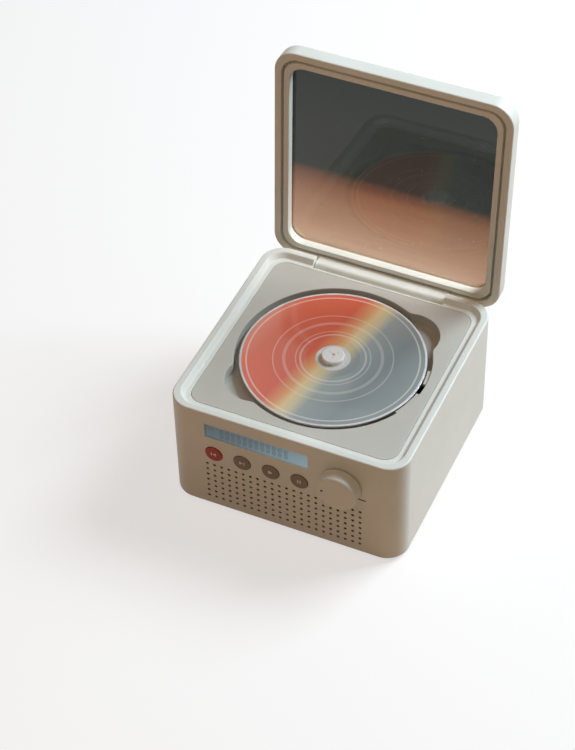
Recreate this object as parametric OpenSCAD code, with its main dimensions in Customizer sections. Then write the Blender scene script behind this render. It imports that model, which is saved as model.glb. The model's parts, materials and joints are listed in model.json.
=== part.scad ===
// Desktop disc player: a square case with a disc well on top, under a windowed lid hinged at the rear edge.
// It rests with its lid open. +X right, +Y rear, +Z up.
// Everything is drawn about the disc's axis. The last lines move it, so that the origin is on the surface under
// the feet, in the middle of the overall width and depth. The lid is drawn closed and then turned open.

/* [Case] */
// Width of the case
case_w = 160; // [156:1:180]
// Depth of the case
case_d = 160; // [156:1:180]
// Height of the rim above the surface
rim_z = 86; // [84:1:96]
// Radius of the upright corners
corner_r = 15; // [12:1:20]
// Thickness of the case walls
wall = 2.6; // [2.2:0.1:3]
// Gap under the lower edge of the case
case_lift = 2; // [1:0.5:4]
// Fillet around the top of the rim
rim_fillet = 1.2; // [0.8:0.1:1.6]
// Fillet around the lower edge
base_fillet = 2; // [1:0.5:3]

/* [Rim and deck] */
// Level rim, measured in from the outside
rim_w = 4.2; // [3.6:0.1:5]
// Width of the slope inside the rim
slope_w = 3.1; // [2:0.1:4]
// Width of the ledge between slope and deck
ledge_w = 2.7; // [2:0.1:3.5]
// Drop from the rim to the deck
deck_drop = 3.4; // [2.6:0.1:4]
// Thickness of the deck plate
deck_t = 2.2; // [1.8:0.1:3]
// Corner radius of the deck
deck_corner_r = 9.5; // [7:0.5:12]
// Gap around the deck plate
deck_gap = 0.2; // [0.1:0.05:0.4]
// Thickness of the seat that carries the deck
seat_t = 2.4; // [2:0.1:3]
// Lap of the seat under the deck
seat_w = 3; // [2:0.5:4]

/* [Disc and well] */
// Diameter of the disc
disc_d = 120; // [118:1:121]
// Diameter of the hole in the disc
disc_hole_d = 15; // [14.5:0.1:15.5]
// Thickness of the disc
disc_t = 1.2; // [1:0.1:1.4]
// Drop from the deck to the top of the disc
disc_drop = 1.2; // [0.8:0.1:2]
// Gap between the disc and the well wall
well_gap = 3.5; // [2.5:0.5:4]
// Depth of the well under the deck
well_depth = 8.2; // [7.6:0.2:9]
// Thickness of the well wall
well_wall = 1.8; // [1.4:0.1:2.2]
// Thickness of the well floor
floor_t = 1.8; // [1.4:0.1:2.2]
// Radius of the finger notches
notch_r = 20; // [16:1:21]
// Distance of the notches from the disc centre
notch_at = 52.3; // [50:0.5:53]
// Fillet between a notch and the well
notch_blend = 8; // [5:1:10]
// Height that the turntable cap stands above the disc
cap_rise = 3; // [2:0.5:4]
// Height that the disc lifts to come off
disc_lift = 20; // [10:1:30]

/* [Lid] */
// Thickness of the lid
lid_t = 12; // [10:0.5:14]
// Gap between the closed lid and the rim
lid_gap = 0.4; // [0.35:0.05:0.8]
// Angle of the open lid
lid_open_angle = 93.5; // [80:0.5:95]
// Width of the lid's outer band
band_w = 4.7; // [4:0.1:5.5]
// Width of the groove around the bezel
groove_w = 1.8; // [1.2:0.1:2.4]
// Width of the bezel
bezel_w = 3.7; // [3:0.1:5]
// Depth of the window pane above the underside
pane_up = 6.2; // [5:0.2:7]
// Thickness of the window pane
pane_t = 3; // [2:0.2:4]
// Lap of the lid over the edge of the pane
pane_lap = 2.3; // [1.5:0.1:3]
// Corner radius of the window
window_corner_r = 10.5; // [8:0.5:13]
// Fillet around the top of the lid
lid_fillet = 2.2; // [1:0.2:3]

/* [Hinge] */
// Distance of the hinge axis in from the rear face
hinge_in = 2.4; // [2:0.1:3]
// Distance of the hinge axis under the rim
hinge_drop = 6.6; // [6:0.1:7.5]
// Radius of the hinge barrel
barrel_r = 3.2; // [2.8:0.1:3.4]
// Length of the gap in the rear rim
hinge_len = 92.6; // [60:1:100]
// Clearance of the barrel, at its ends and under it
hinge_clear = 0.4; // [0.3:0.1:0.8]
// Diameter of the hinge pins
pin_d = 2.4; // [1.6:0.1:2.6]
// Length of a hinge pin in the case, and again in the barrel
pin_grip = 6; // [4:0.5:8]
// Radial clearance of the running fits
run_fit = 0.06; // [0.03:0.01:0.09]

/* [Front] */
// Pitch of the loudspeaker holes
grille_pitch = 5; // [4.5:0.25:5.5]
// Diameter of the loudspeaker holes
grille_hole_d = 2; // [1.5:0.1:2.5]
// Columns of loudspeaker holes
grille_columns = 22; // [18:1:24]
// Rows of loudspeaker holes
grille_rows = 7; // [5:1:7]
// Height of the lowest row
grille_z = 10; // [9:0.5:12]
// Width of the display window
display_w = 70.4; // [50:0.2:75]
// Height of the display window
display_h = 12; // [9:0.5:14]
// Height of the middle of the display
display_z = 70.1; // [68.5:0.1:71]
// Recess of the display window
display_recess = 1; // [0.3:0.1:1]
// Diameter of the buttons
button_d = 11.5; // [9:0.5:13]
// Height of the middle of the buttons
button_z = 50.9; // [50:0.1:52]
// Height that a button stands out
button_out = 0.6; // [0.3:0.1:1.5]
// Travel of a button
button_travel = 0.8; // [0.5:0.1:0.9]
// Gap around a button
button_gap = 0.25; // [0.15:0.05:0.4]
// Diameter of the volume knob
knob_d = 26.6; // [22:0.2:30]
// Height that the knob stands out
knob_out = 10; // [8:0.5:14]
// Height of the knob's axis
knob_z = 61; // [58:0.5:63]
// Gap behind the knob
knob_gap = 0.9; // [0.3:0.1:1]
// Rounding of the knob's front edge
knob_fillet = 1.6; // [0.6:0.1:1.8]

/* [Loudspeakers] */
// Distance of each loudspeaker from the middle
speaker_x = 27.5; // [24:0.5:32]
// Height of the loudspeaker axis
speaker_z = 24.5; // [24:0.5:25]
// Side of the square flange
speaker_side = 38; // [36:1:38]
// Thickness of the flange
flange_t = 1.5; // [1.2:0.1:2]
// Thickness of the gasket
gasket_t = 2; // [1.5:0.1:3]
// Thickness of the grille cloth
cloth_t = 0.4; // [0.3:0.1:0.6]
// Travel of a cone each way
cone_travel = 0.5; // [0.2:0.1:0.6]

/* [Mechanism] */
// Height of the chassis plate above the surface
chassis_z = 57; // [56:0.5:57.5]
// Thickness of the chassis plate
chassis_t = 1.6; // [1.2:0.1:2]
// Distance of the guide rods from the middle
rod_y = 20; // [19:0.5:21]
// Diameter of the guide rods
rod_d = 3; // [2:0.1:3.2]
// Height of the rod axis above the chassis plate
rod_up = 5.9; // [5.6:0.1:6.2]
// Distance of the lens from the disc centre at the first track
lens_start = 24; // [23:0.5:25]
// Travel of the pickup sled
sled_travel = 33; // [28:1:33]
// Travel of the lens each way as it focuses
focus_travel = 0.6; // [0.2:0.1:0.6]
// Tip radius of the drive gear's pinion
pinion_r = 4.9; // [4:0.1:5]
// Tip radius of the drive gear
gear_r = 9; // [8:0.5:9]
// Tip radius of the motor pinion
motor_pinion_r = 2.2; // [2:0.1:3]
// Gap between meshing tips
mesh_gap = 0.15; // [0.1:0.05:0.3]

/* [Base and rear] */
// Height of the rubber feet
foot_h = 2.4; // [2:0.2:4]
// Diameter of the rubber feet
foot_d = 16; // [10:1:16]
// Distance of the feet from the middle
foot_at = 62; // [58:1:62]
// Thickness of the bottom cover
cover_t = 2.4; // [2:0.2:3]
// Gap around the bottom cover
cover_gap = 0.2; // [0.1:0.05:0.4]
// Height of the main board above the bottom cover
board_up = 9; // [7:0.5:10]
// Thickness of the circuit boards
board_t = 1.6; // [1:0.1:2]
// Distance of the power inlet from the middle
inlet_x = -32; // [-36:1:-28]
// Distance of the audio socket from the middle
jack_x = -12; // [-16:1:-8]
// Diameter of the audio socket's bore
jack_d = 3.6; // [3.5:0.1:3.8]
// Distance of the power switch from the middle
switch_x = 14; // [8:1:24]
// Travel of the power switch
switch_travel = 3; // [2:0.5:4]

/* [Hidden] */
$fn = 48;
cut = 1;
case_colour = "#e3e5e0";
deck_colour = "#babab2";
board_colour = "#2f6b46";
steel_colour = "#b9bcbf";
dark_colour = "#3a3c3e";

// Levels and faces that several pieces share
deck_z = rim_z - deck_drop;
deck_in = rim_w + slope_w + ledge_w;
deck_w = case_w - 2 * deck_in;
deck_d = case_d - 2 * deck_in;
seat_z = deck_z - deck_t;
seat_low_z = seat_z - seat_t;
seat_corner_r = 20;
disc_top_z = deck_z - disc_drop;
disc_low_z = disc_top_z - disc_t;
floor_z = deck_z - well_depth;
floor_low_z = floor_z - floor_t;
well_r = disc_d / 2 + well_gap;
inner_w = case_w - 2 * wall;
inner_d = case_d - 2 * wall;
front_y = -case_d / 2;
rear_y = case_d / 2;
front_in_y = front_y + wall;
rear_in_y = rear_y - wall;
cover_z = foot_h;
cover_top_z = foot_h + cover_t;

// Screws
deck_screw_r = 1.25;
deck_screw_in = 6.5;
cover_screw_r = 1.25;
cover_boss_r = 5;
cover_boss_h = 16;
cover_boss_in = 6.9;
small_screw_r = 1;
screw_head_h = 1.4;

// Hinge
axis_y = rear_y - hinge_in;
axis_z = rim_z - hinge_drop;
lid_z = rim_z + lid_gap;
trough_z = axis_z - barrel_r - hinge_clear;
trough_floor_t = 2.4;
trough_front_y = rear_y - deck_in + 1.4;
lug_w = pin_grip + 2;
barrel_len = hinge_len - 2 * hinge_clear;
sensor_x = case_w / 2 - 20;

// From the disc's axis back to the middle of the overall depth, which runs from the knob to the open lid
lid_far_y = lid_fillet - case_d + hinge_in;
lid_far_z = lid_z + lid_t - lid_fillet - axis_z;
lid_back_y = axis_y + lid_far_y * cos(lid_open_angle) + lid_far_z * sin(lid_open_angle) + lid_fillet;
middle_y = (lid_back_y - case_d / 2 - knob_out) / 2;

// Lid
pocket_corner_r = corner_r - 3;
groove_corner_r = corner_r - 4.2;
pane_corner_r = window_corner_r + 0.5;
pane_in = band_w + groove_w + bezel_w - pane_lap;
bezel_up = 0.3;
bezel_foot_t = 1.6;

// Front
grille_w = (grille_columns - 1) * grille_pitch;
front_left_x = -grille_w / 2 - grille_hole_d / 2;
display_x = front_left_x + 0.4 + display_w / 2;
button_pitch = (display_w - button_d) / 3;
button_first_x = front_left_x + 0.4 + button_d / 2;
button_lip = 1.2;
button_lip_t = 1;
button_stem_r = 1.5;
knob_x = -front_left_x - knob_d / 2;
knob_wall = 2;
display_lip = 1.6;
display_lip_t = 1;
display_back_y = front_in_y + display_lip_t;
panel_y = front_in_y + 6;
switch_t = 3.5;
encoder_side = 12;
bush_r = 3.5;
shaft_r = 3;
nut_r = 5.5;
nut_t = 1.5;
panel_low_z = 44.5;
panel_screws = [for (x = [-case_w / 2 + 16, case_w / 2 - 18]) for (z = [panel_low_z + 3.5, seat_low_z - 6]) [x, z]];
panel_boss_r = 2.6;

// Loudspeakers
flange_y = front_in_y + cloth_t + gasket_t;
cone_r = 15.8;
coil_r = 6.4;
basket_depth = 10.5;
magnet_t = 8;
speaker_screw_at = speaker_side / 2 - 3.2;
speaker_boss_r = 2.7;

// Mechanism
chassis_top_z = chassis_z + chassis_t;
chassis_left_x = -54;
chassis_right_x = lens_start + sled_travel + 17;
chassis_half_d = 44;
post_x = 48;
post_y = 38;
post_r = 3;
bush_flange_t = 1.6;
bush_outer_r = 5;
bush_waist_r = 3.6;
rod_z = chassis_top_z + rod_up;
rod_start_x = 9;
rod_end_x = lens_start + sled_travel + 16;
cheek_w = 3;
sled_half = 10;
sled_low_z = chassis_top_z + 2;
sled_top_z = rod_z + 3.5;
eye_low_z = rod_z - 3;
sled_eye = 4;
pedestal_r = 4.2;
pedestal_h = 8;
holder_z = sled_top_z + 1.4 + focus_travel;
holder_h = 7;
lens_r = 2.2;
slot_half = 6.4;
slot_end_x = lens_start + sled_travel + pedestal_r + 0.8;
rack_w = 2.6;
rack_z = eye_low_z + 0.5;
rack_h = 3;
rack_y = -rod_y - sled_eye - rack_w;
gear_x = lens_start + 11;
gear_y = rack_y - mesh_gap - pinion_r;
gear_low_z = chassis_top_z + 0.6;
gear_t = 1.6;
axle_r = 1.5;
motor_x = gear_x - gear_r - mesh_gap - motor_pinion_r;
motor_r = 12.5;
motor_h = 8;
hub_r = 12.8;
hub_t = 1.8;
hub_low_z = chassis_top_z + motor_h + 2;
cap_z = disc_top_z + 1.6;
cap_t = cap_rise - 1.6;
boss_r = disc_hole_d / 2 - 0.1;
spindle_r = 1;
ball_r = 1;
ball_at = boss_r - ball_r + 0.04;

// Base and rear
main_board_w = 100;
main_board_front_y = 18;
main_board_z = cover_top_z + board_up;
main_board_rear_y = rear_in_y - 3;
main_board_top_z = main_board_z + board_t;
main_board_screw_in = 4;
battery_w = 76;
battery_d = 40;
battery_h = 18;
battery_y = -24;
battery_gap = 0.3;
inlet_w = 9;
inlet_h = 3.2;
inlet_mouth_w = 8.3;
inlet_mouth_h = 2.5;
jack_z = main_board_top_z + 3.5;
jack_collar_r = 3.2;
slider_w = 5;
slider_h = 3;
// Middle of each chip from the middle of the board, as shares of its width and depth, and its side
board_chips = [[-0.17, -0.09, 14], [0.11, -0.09, 10]];
chip_h = 1.3;
capacitor_x = 0.3 * main_board_w;
capacitor_r = 4;
capacitor_h = 9;
ribbon_w = 12;
ribbon_t = 0.6;

// A rectangle with round corners, centred
module round_rect(w, d, r) {
    square([w - 2 * r, d], center = true);
    square([w, d - 2 * r], center = true);
    for (sx = [-1, 1], sy = [-1, 1])
        translate([sx * (w / 2 - r), sy * (d / 2 - r)])
            circle(r);
}

// An upright slab with round corners, from z to z + h
module round_slab(w, d, r, z, h)
    translate([0, 0, z])
        linear_extrude(h)
            round_rect(w, d, r);

// Carries a profile around a rectangle with round corners. The profile's x is counted from the corner centres.
module sweep_around(w, d, r)
    for (turn = [0:3]) {
        across = (turn % 2 == 0 ? w : d) / 2 - r;
        along = (turn % 2 == 0 ? d : w) / 2 - r;
        rotate(90 * turn) {
            translate([across, along, 0])
                rotate([90, 0, 0])
                    linear_extrude(2 * along)
                        children();
            translate([across, along, 0])
                rotate_extrude(angle = 90)
                    children();
        }
    }

// Points along an arc
function arc(x, y, r, from, to, steps = 4) =
    [for (i = [0:steps]) let (a = from + (to - from) * i / steps) [x + r * cos(a), y + r * sin(a)]];

// What a fillet of radius f takes off an outer edge at x, y. side is 1 for a top edge and -1 for a lower edge.
module fillet_cut(x, y, f, side)
    polygon(concat(
        arc(x - f, y - side * f, f, 0, side * 90),
        [[x - f, y + side * cut], [x + cut, y + side * cut], [x + cut, y - side * f]]
    ));

// A cylinder along Y, from y to y + h
module y_rod(x, y, z, r, h)
    translate([x, y, z])
        rotate([-90, 0, 0])
            cylinder(h, r, r);

// A cylinder along X, from x to x + h
module x_rod(x, y, z, r, h)
    translate([x, y, z])
        rotate([0, 90, 0])
            cylinder(h, r, r);

// A cylinder along Z, from z to z + h
module z_rod(x, y, z, r, h)
    translate([x, y, z])
        cylinder(h, r, r);

// A box from one corner to the opposite one
module box(low, high)
    translate(low)
        cube(high - low);

// The four corners of a rectangle, each at x and y from the middle
module four_corners(x, y)
    for (sx = [-1, 1], sy = [-1, 1])
        translate([sx * x, sy * y, 0])
            children();

// A screw with its head down at z, and its shank of length l going up
module screw_up(z, r, l) {
    translate([0, 0, z])
        cylinder(screw_head_h, 2 * r, 2 * r);
    translate([0, 0, z + screw_head_h])
        cylinder(l, r, r);
}

// Case

module case_block()
    difference() {
        round_slab(case_w, case_d, corner_r, case_lift, rim_z - case_lift);
        sweep_around(case_w, case_d, corner_r)
            fillet_cut(corner_r, rim_z, rim_fillet, 1);
        sweep_around(case_w, case_d, corner_r)
            fillet_cut(corner_r, case_lift, base_fillet, -1);
    }

// The slope from the ledge up to the rim, eased at both ends
module slope_cut(r)
    polygon([
        [r - cut, deck_z],
        [r, deck_z],
        [r + 0.12 * slope_w, deck_z + 0.08 * deck_drop],
        [r + 0.68 * slope_w, deck_z + 0.76 * deck_drop],
        [r + 0.84 * slope_w, deck_z + 0.93 * deck_drop],
        [r + slope_w, rim_z],
        [r + slope_w, rim_z + cut],
        [r - cut, rim_z + cut]
    ]);

module case_hollow() {
    slope_in = rim_w + slope_w;
    slope_w_out = case_w - 2 * slope_in;
    slope_d_out = case_d - 2 * slope_in;
    round_slab(inner_w, inner_d, corner_r - wall, case_lift - cut, seat_low_z - case_lift + cut);
    round_slab(deck_w - 2 * seat_w, deck_d - 2 * seat_w, seat_corner_r, seat_low_z - cut, seat_t + 2 * cut);
    round_slab(deck_w, deck_d, deck_corner_r, seat_z, deck_t + cut);
    round_slab(slope_w_out, slope_d_out, deck_corner_r, deck_z, deck_drop + cut);
    sweep_around(slope_w_out, slope_d_out, deck_corner_r)
        slope_cut(deck_corner_r);
}

module hinge_block()
    box(
        [-hinge_len / 2 - lug_w, rear_y - deck_in, trough_z - trough_floor_t],
        [hinge_len / 2 + lug_w, rear_in_y + wall / 2, seat_low_z + seat_t / 2]
    );

module hinge_cuts() {
    box([-hinge_len / 2, trough_front_y, trough_z], [hinge_len / 2, rear_y + cut, rim_z + cut]);
    x_rod(-hinge_len / 2 - pin_grip, axis_y, axis_z, pin_d / 2, hinge_len + 2 * pin_grip);
}

function button_x(k) = button_first_x + k * button_pitch;

// The front wall and what is cut through it
module front_cuts() {
    depth = wall + 2 * cut;
    y = front_y - cut;
    for (i = [0:grille_columns - 1], j = [0:grille_rows - 1])
        y_rod(i * grille_pitch - grille_w / 2, y, grille_z + j * grille_pitch, grille_hole_d / 2, depth);
    box(
        [display_x - display_w / 2, y, display_z - display_h / 2],
        [display_x + display_w / 2, y + depth, display_z + display_h / 2]
    );
    for (k = [0:3])
        y_rod(button_x(k), y, button_z, button_d / 2 + button_gap, depth);
    y_rod(knob_x, y, knob_z, bush_r + 0.2, depth);
}

module rear_cuts() {
    depth = wall + 2 * cut;
    y = rear_y + cut;
    socket_z = main_board_top_z;
    box(
        [inlet_x - inlet_w / 2 - 0.3, y - depth, socket_z - 0.3],
        [inlet_x + inlet_w / 2 + 0.3, y, socket_z + inlet_h + 0.3]
    );
    y_rod(jack_x, y - depth, jack_z, jack_collar_r + 0.2, depth);
    box(
        [switch_x - slider_w / 2 - 0.5, y - depth, socket_z + 0.6],
        [switch_x + slider_w / 2 + switch_travel + 0.5, y, socket_z + 1.4 + slider_h]
    );
}

module main_case()
    color(case_colour)
        difference() {
            union() {
                difference() {
                    case_block();
                    case_hollow();
                    front_cuts();
                    rear_cuts();
                }
                hinge_block();
                four_corners(case_w / 2 - wall - cover_boss_in, case_d / 2 - wall - cover_boss_in)
                    z_rod(0, 0, cover_top_z, cover_boss_r, cover_boss_h);
                for (at = panel_screws)
                    y_rod(at[0], front_in_y - wall / 2, at[1], panel_boss_r, panel_y - front_in_y + wall / 2);
                for (side = [-1, 1], sx = [-1, 1], sz = [-1, 1])
                    y_rod(
                        side * speaker_x + sx * speaker_screw_at, front_in_y - wall / 2,
                        speaker_z + sz * speaker_screw_at, speaker_boss_r, flange_y - front_in_y + wall / 2
                    );
            }
            hinge_cuts();
            four_corners(case_w / 2 - wall - cover_boss_in, case_d / 2 - wall - cover_boss_in)
                z_rod(0, 0, cover_top_z - cut, cover_screw_r, cover_boss_h - 1);
            four_corners(deck_w / 2 - deck_screw_in, deck_d / 2 - deck_screw_in)
                z_rod(0, 0, seat_low_z - cut, deck_screw_r, seat_t + 2 * cut);
            for (at = panel_screws)
                y_rod(at[0], front_in_y + 1, at[1], small_screw_r, panel_y - front_in_y);
            for (side = [-1, 1], sx = [-1, 1], sz = [-1, 1])
                y_rod(
                    side * speaker_x + sx * speaker_screw_at, front_in_y + 0.2,
                    speaker_z + sz * speaker_screw_at, small_screw_r, flange_y - front_in_y
                );
        }

// Deck

// The well's outline with its two finger notches, grown outwards by extra
module well_shape(extra) {
    reach = well_r + notch_blend;
    span = notch_r + notch_blend;
    turn = acos((notch_at * notch_at + reach * reach - span * span) / (2 * notch_at * reach));
    circle(well_r + extra, $fn = 96);
    for (side = [45, 225])
        rotate(side) {
            translate([notch_at, 0])
                circle(notch_r + extra);
            for (half = [-1, 1])
                difference() {
                    polygon([[0, 0], [notch_at, 0], reach * [cos(turn), half * sin(turn)]]);
                    translate(reach * [cos(turn), half * sin(turn)])
                        circle(notch_blend - extra);
                }
        }
}

// A low tab on the well wall, beside the disc, between two angles
module well_tab(from, to)
    rotate(from)
        rotate_extrude(angle = to - from)
            translate([disc_d / 2 + 0.9, disc_low_z - 1.2])
                square([well_gap + 0.4, disc_t + 1]);

module top_deck()
    color(deck_colour)
        difference() {
            union() {
                difference() {
                    union() {
                        round_slab(
                            deck_w - 2 * deck_gap, deck_d - 2 * deck_gap,
                            deck_corner_r - deck_gap, seat_z, deck_t
                        );
                        translate([0, 0, floor_low_z])
                            linear_extrude(seat_z - floor_low_z)
                                well_shape(well_wall);
                    }
                    translate([0, 0, floor_z])
                        linear_extrude(well_depth + cut)
                            well_shape(0);
                    z_rod(0, 0, floor_low_z - cut, hub_r + 2.7, floor_t + 2 * cut);
                    box(
                        [0, -slot_half, floor_low_z - cut],
                        [slot_end_x, slot_half, floor_z + cut]
                    );
                }
                well_tab(1, 12.5);
                well_tab(-27.5, -7.5);
                four_corners(post_x, post_y)
                    z_rod(0, 0, chassis_top_z + bush_flange_t, post_r, floor_low_z - chassis_top_z - bush_flange_t);
            }
            four_corners(post_x, post_y)
                z_rod(0, 0, chassis_top_z, small_screw_r, 9);
            four_corners(deck_w / 2 - deck_screw_in, deck_d / 2 - deck_screw_in)
                z_rod(0, 0, seat_z - cut, deck_screw_r, deck_t + cut - 0.7);
        }

module deck_screws()
    color(steel_colour)
        four_corners(deck_w / 2 - deck_screw_in, deck_d / 2 - deck_screw_in)
            screw_up(seat_low_z - screw_head_h, deck_screw_r, seat_t + deck_t - 0.8);

// Base

module bottom_cover()
    color(case_colour)
        difference() {
            union() {
                round_slab(
                    inner_w - 2 * cover_gap, inner_d - 2 * cover_gap,
                    corner_r - wall - cover_gap, cover_z, cover_t
                );
                main_board_posts(3, cover_z + cover_t / 2, board_up + cover_t / 2);
                for (side = [-1, 1])
                    translate([0, battery_y + side * (battery_d / 2 + battery_gap + 0.8), cover_top_z - 0.2])
                        translate([-battery_w / 2, -0.8, 0])
                            cube([battery_w, 1.6, 6]);
            }
            four_corners(case_w / 2 - wall - cover_boss_in, case_d / 2 - wall - cover_boss_in) {
                z_rod(0, 0, cover_z - cut, cover_screw_r + 0.3, cover_t + 2 * cut);
                z_rod(0, 0, cover_z - cut, 2 * cover_screw_r + 0.2, screw_head_h + cut);
            }
            main_board_posts(small_screw_r, cover_top_z + 1, board_up);
        }

// An upright rod at each screw of the main board
module main_board_posts(r, z, h)
    for (sx = [-1, 1], y = [main_board_front_y + main_board_screw_in, main_board_rear_y - main_board_screw_in])
        z_rod(sx * (main_board_w / 2 - main_board_screw_in), y, z, r, h);

module rubber_feet()
    color(dark_colour)
        four_corners(foot_at, foot_at)
            difference() {
                cylinder(foot_h, foot_d / 2, foot_d / 2);
                rotate_extrude()
                    fillet_cut(foot_d / 2, 0, 0.6, -1);
            }

module cover_screws()
    color(steel_colour)
        four_corners(case_w / 2 - wall - cover_boss_in, case_d / 2 - wall - cover_boss_in)
            screw_up(cover_z, cover_screw_r, cover_boss_h - 4);

// Lid

// Turns what is drawn closed to the open angle
module opened()
    translate([0, axis_y, axis_z])
        rotate([-lid_open_angle, 0, 0])
            translate([0, -axis_y, -axis_z])
                children();

// A slab inside the lid's outline, inset from it, from up to up + h above the underside
module lid_slab(inset, r, up, h)
    round_slab(case_w - 2 * inset, case_d - 2 * inset, r, lid_z + up, h);

module lid_frame()
    color(case_colour)
        opened()
            difference() {
                union() {
                    difference() {
                        lid_slab(0, corner_r, 0, lid_t);
                        sweep_around(case_w, case_d, corner_r)
                            fillet_cut(corner_r, lid_z + lid_t, lid_fillet, 1);
                        sweep_around(case_w, case_d, corner_r)
                            fillet_cut(corner_r, lid_z, rim_fillet, -1);
                        lid_slab(band_w, pocket_corner_r, -cut, pane_up + cut);
                        lid_slab(pane_in, pane_corner_r, pane_up - cut, pane_t + cut);
                        lid_slab(pane_in + pane_lap, window_corner_r, 0, lid_t + cut);
                    }
                    intersection() {
                        union() {
                            x_rod(-barrel_len / 2, axis_y, axis_z, barrel_r, barrel_len);
                            box(
                                [-barrel_len / 2, axis_y - barrel_r, axis_z],
                                [barrel_len / 2, rear_y, lid_z + rim_fillet]
                            );
                        }
                        box(
                            [-barrel_len / 2, axis_y - 2 * barrel_r, axis_z - barrel_r],
                            [barrel_len / 2, rear_y, lid_z + rim_fillet]
                        );
                    }
                }
                for (side = [-1, 1])
                    x_rod(
                        side * (barrel_len / 2 - pin_grip / 2) - pin_grip / 2 - cut, axis_y, axis_z,
                        pin_d / 2 + run_fit, pin_grip + 2 * cut
                    );
                magnet_space();
            }

module window_bezel()
    color(case_colour)
        opened()
            difference() {
                union() {
                    lid_slab(band_w + groove_w, groove_corner_r, bezel_up, pane_up - bezel_up);
                    lid_slab(band_w, pocket_corner_r, pane_up - bezel_foot_t, bezel_foot_t);
                }
                lid_slab(band_w + groove_w + bezel_w, window_corner_r, -cut, pane_up + 2 * cut);
            }

module lid_window()
    color("lightblue", 0.35)
        opened()
            lid_slab(pane_in, pane_corner_r, pane_up, pane_t);

// The magnet's place in the lid frame, between the pane and the bezel's foot
module magnet_space()
    box(
        [sensor_x - 3, front_y + band_w + 0.3, lid_z + pane_up],
        [sensor_x + 3, front_y + pane_in, lid_z + pane_up + 2]
    );

module lid_magnet()
    color(steel_colour)
        opened()
            magnet_space();

module lid_sensor()
    color(board_colour) {
        box([sensor_x - 5, front_in_y + 0.4, seat_low_z - 1.2], [sensor_x + 5, front_in_y + 5, seat_low_z]);
        box([sensor_x - 2, front_in_y + 1.4, seat_low_z - 2.2], [sensor_x + 2, front_in_y + 4.4, seat_low_z - 1.2]);
    }

module hinge_pins()
    color(steel_colour)
        for (side = [-1, 1])
            x_rod(
                side * (hinge_len / 2 + 0.1) - pin_grip + 0.1, axis_y, axis_z,
                pin_d / 2, 2 * pin_grip - 0.2
            );

// Disc and turntable

module compact_disc()
    color("#c96b4e")
        difference() {
            z_rod(0, 0, disc_low_z, disc_d / 2, disc_t, $fn = 96);
            z_rod(0, 0, disc_low_z - cut, disc_hole_d / 2, disc_t + 2 * cut);
        }

module turntable_hub()
    color("white")
        difference() {
            union() {
                z_rod(0, 0, disc_low_z - hub_t, hub_r, hub_t);
                z_rod(0, 0, hub_low_z, 5, disc_low_z - hub_t - hub_low_z);
                z_rod(0, 0, disc_low_z, boss_r, cap_z - disc_low_z);
            }
            z_rod(0, 0, hub_low_z - cut, spindle_r, cap_z - hub_low_z);
            ball_places()
                x_rod(-ball_r - 0.05, 0, 0, ball_r + 0.05, 3 * ball_r);
        }

module hub_cap()
    color("white")
        difference() {
            z_rod(0, 0, cap_z, boss_r, cap_t);
            rotate_extrude()
                fillet_cut(boss_r, cap_z + cap_t, 0.8, 1);
            z_rod(0, 0, cap_z + 0.4, 1.2, cap_t);
            for (k = [0:2])
                rotate(120 * k + 40)
                    z_rod(2.9, 0, cap_z + cap_t - 0.4, 0.6, 1);
        }

// Each of the three places for a ball in the side of the boss
module ball_places()
    for (k = [0:2])
        rotate(120 * k + 40)
            translate([ball_at, 0, disc_top_z + 0.3])
                children();

module hub_balls()
    color(steel_colour)
        ball_places()
            sphere(ball_r);

module spindle_shaft()
    color(steel_colour)
        z_rod(0, 0, chassis_top_z + 1, spindle_r, cap_z - cut - chassis_top_z - 1);

module spindle_motor()
    color(steel_colour)
        difference() {
            union() {
                z_rod(0, 0, chassis_top_z, motor_r, motor_h);
                z_rod(0, 0, chassis_top_z + motor_h, 3, 1);
            }
            z_rod(0, 0, chassis_top_z + 0.8, spindle_r + run_fit, motor_h + 2);
        }

// Front controls

module display_window()
    color("#8fb3c4") {
        box(
            [display_x - display_w / 2 + 0.1, front_y + display_recess, display_z - display_h / 2 + 0.1],
            [display_x + display_w / 2 - 0.1, front_in_y, display_z + display_h / 2 - 0.1]
        );
        box(
            [display_x - display_w / 2 - display_lip, front_in_y, display_z - display_h / 2 - display_lip],
            [display_x + display_w / 2 + display_lip, display_back_y, display_z + display_h / 2 + display_lip]
        );
    }

module display_module()
    color("#9db8c0")
        box(
            [display_x - display_w / 2 - 1.2, display_back_y, display_z - display_h / 2 - 1.2],
            [display_x + display_w / 2 + 1.2, panel_y, display_z + display_h / 2 + 1.2]
        );

module push_button(k, tint)
    color(tint) {
        lip_y = front_in_y + 0.3;
        y_rod(button_x(k), front_y - button_out, button_z, button_d / 2, lip_y - front_y + button_out);
        y_rod(button_x(k), lip_y, button_z, button_d / 2 + button_lip, button_lip_t);
        y_rod(button_x(k), lip_y, button_z, button_stem_r, button_lip_t + 2.1);
    }

module button_previous() push_button(0, "#b8473a");
module button_next() push_button(1, "#6d5f52");
module button_play() push_button(2, "#6d5f52");
module button_pause() push_button(3, "#6d5f52");

module tact_switches()
    color(dark_colour)
        for (k = [0:3])
            difference() {
                box([button_x(k) - 3, panel_y - switch_t, button_z - 3], [button_x(k) + 3, panel_y, button_z + 3]);
                y_rod(button_x(k), panel_y - switch_t - cut, button_z, button_stem_r + 0.25, 2.1 + cut);
            }

module control_board()
    color(board_colour)
        difference() {
            box(
                [-case_w / 2 + 10, panel_y, panel_low_z],
                [case_w / 2 - 12, panel_y + board_t, seat_low_z - 1]
            );
            for (at = panel_screws)
                y_rod(at[0], panel_y - cut, at[1], small_screw_r, board_t + 2 * cut);
        }

module control_screws()
    color(steel_colour)
        for (at = panel_screws)
            translate([at[0], panel_y + board_t + screw_head_h, at[1]])
                rotate([90, 0, 0])
                    screw_up(0, small_screw_r, board_t + 3);

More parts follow.
